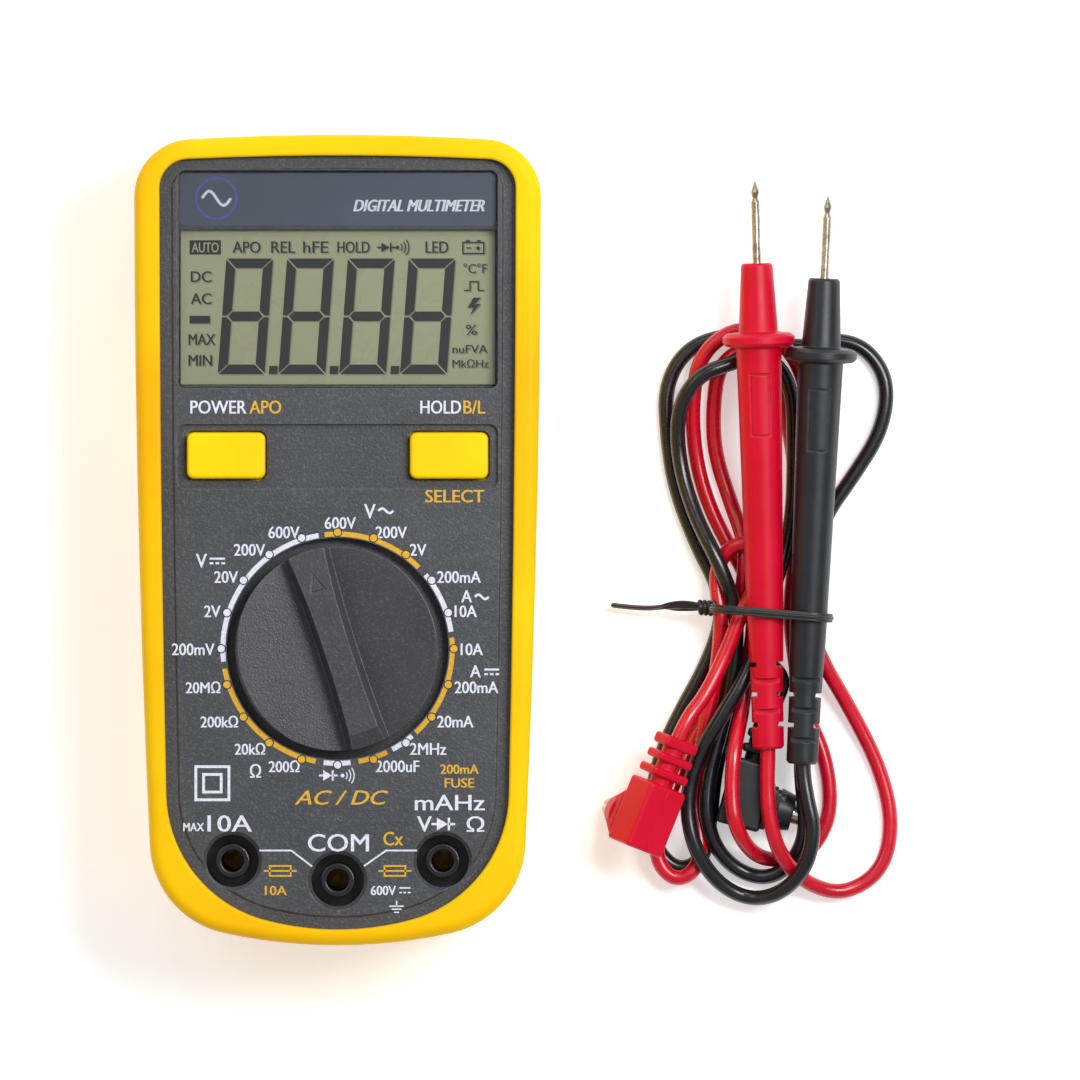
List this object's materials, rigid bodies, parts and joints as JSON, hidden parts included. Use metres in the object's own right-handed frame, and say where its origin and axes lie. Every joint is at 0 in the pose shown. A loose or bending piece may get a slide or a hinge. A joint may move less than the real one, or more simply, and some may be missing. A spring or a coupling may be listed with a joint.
{
  "type": "digital multimeter",
  "caption": "Handheld digital multimeter in a yellow rubber holster: display, rotary selector, push buttons, input jacks, tilt stand and a tied pair of test leads.",
  "frame": {"origin": "middle of the meter's footprint on the table, at the back face of its holster", "axes": "+X to the right of the face, +Y along the meter towards its display, +Z out of its face"},
  "size_m": [0.1385, 0.147, 0.0412],
  "materials": {
    "holster_rubber": "soft moulded rubber, satin yellow",
    "case_plastic": "dark grey with a fine spark texture",
    "knob_plastic": "near-black grey, spark textured",
    "button_yellow": "satin yellow",
    "inner_plastic": "plain black",
    "white_plastic": "plain white",
    "lens_clear": "clear polished acrylic",
    "title_film": "dark blue-grey print behind the lens",
    "lcd_cell": "grey-green display",
    "contact_rubber": "striped conductive rubber",
    "board_green": "solder mask",
    "steel": "zinc plated",
    "plated": "nickel plated brass",
    "brass": "bare",
    "fuse_glass": "clear",
    "resin_black": "cast resin",
    "sleeve_blue": "shrink sleeve",
    "disc_ochre": "lacquered disc",
    "battery_jacket": "plain printed jacket",
    "bushing_black": "glossy black",
    "red_plastic": "satin red",
    "black_plastic": "satin black",
    "red_cord": "soft glossy insulation",
    "black_cord": "soft glossy insulation",
    "tie_black": "plastic-covered wire"
  },
  "bodies": {
    "meter": {"backlight_panel": "white_plastic", "battery": "battery_jacket", "battery_contacts": "inner_plastic", "buzzer": "inner_plastic", "capacitors": "sleeve_blue", "case_screws": "steel", "chip_blob": "resin_black", "chip_resistors": "resin_black", "current_shunt": "brass", "display_lens": "lens_clear", "front_case": "case_plastic", "fuse_caps": "plated", "fuse_clips": "brass", "fuse_tube": "fuse_glass", "hold_switch": "inner_plastic", "holster": "holster_rubber", "jack_bushing_10a": "bushing_black", "jack_bushing_com": "bushing_black", "jack_bushing_volt": "bushing_black", "jack_socket_10a": "brass", "jack_socket_com": "brass", "jack_socket_volt": "brass", "lcd_contact_strips": "contact_rubber", "lcd_frame": "white_plastic", "lcd_glass": "lcd_cell", "main_pcb": "board_green", "pcb_screws": "steel", "power_switch": "inner_plastic", "ptc_thermistor": "disc_ochre", "rear_case": "case_plastic", "title_strip": "title_film", "trimmer": "sleeve_blue"},
    "selector": {"selector_knob": "knob_plastic", "selector_rotor": "inner_plastic", "detent_springs": "steel", "detent_balls": "steel", "selector_contacts": "brass"},
    "power_button": {"power_button_cap": "button_yellow", "power_plunger": "white_plastic"},
    "hold_button": {"hold_button_cap": "button_yellow", "hold_plunger": "white_plastic"},
    "stand": {"tilt_stand": "case_plastic"},
    "battery_cover": {"battery_door": "case_plastic", "battery_door_screw": "steel"},
    "test_leads": {"black_lead_hank": "black_cord", "black_plug_body": "black_plastic", "black_plug_pin": "plated", "black_probe_handle": "black_plastic", "black_probe_tip": "plated", "red_lead_hank": "red_cord", "red_plug_body": "red_plastic", "red_plug_pin": "plated", "red_probe_handle": "red_plastic", "red_probe_tip": "plated", "twist_tie": "tie_black"}
  },
  "joints": [
    {"name": "selector_turn", "type": "hinge", "parent": "meter", "child": "selector", "pos_m": [0, -0.0197, 0.034], "axis": [0, 0, 1], "continuous": true},
    {"name": "power_button_press", "type": "slide", "parent": "meter", "child": "power_button", "axis": [0, 0, -1], "range_m": [0, 0.002], "stiffness_N_per_m": 800},
    {"name": "hold_button_press", "type": "slide", "parent": "meter", "child": "hold_button", "axis": [0, 0, -1], "range_m": [0, 0.002], "stiffness_N_per_m": 800},
    {"name": "stand_fold", "type": "hinge", "parent": "meter", "child": "stand", "pos_m": [0, 0.012, 0.0044], "axis": [1, 0, 0], "range_deg": [0, 72]},
    {"name": "battery_cover_lift", "type": "slide", "parent": "meter", "child": "battery_cover", "axis": [0, 0, -1], "range_m": [0, 0.04]},
    {"name": "test_leads_lift", "type": "slide", "parent": "meter", "child": "test_leads", "axis": [0, 0, 1], "range_m": [0, 0.08]}
  ]
}
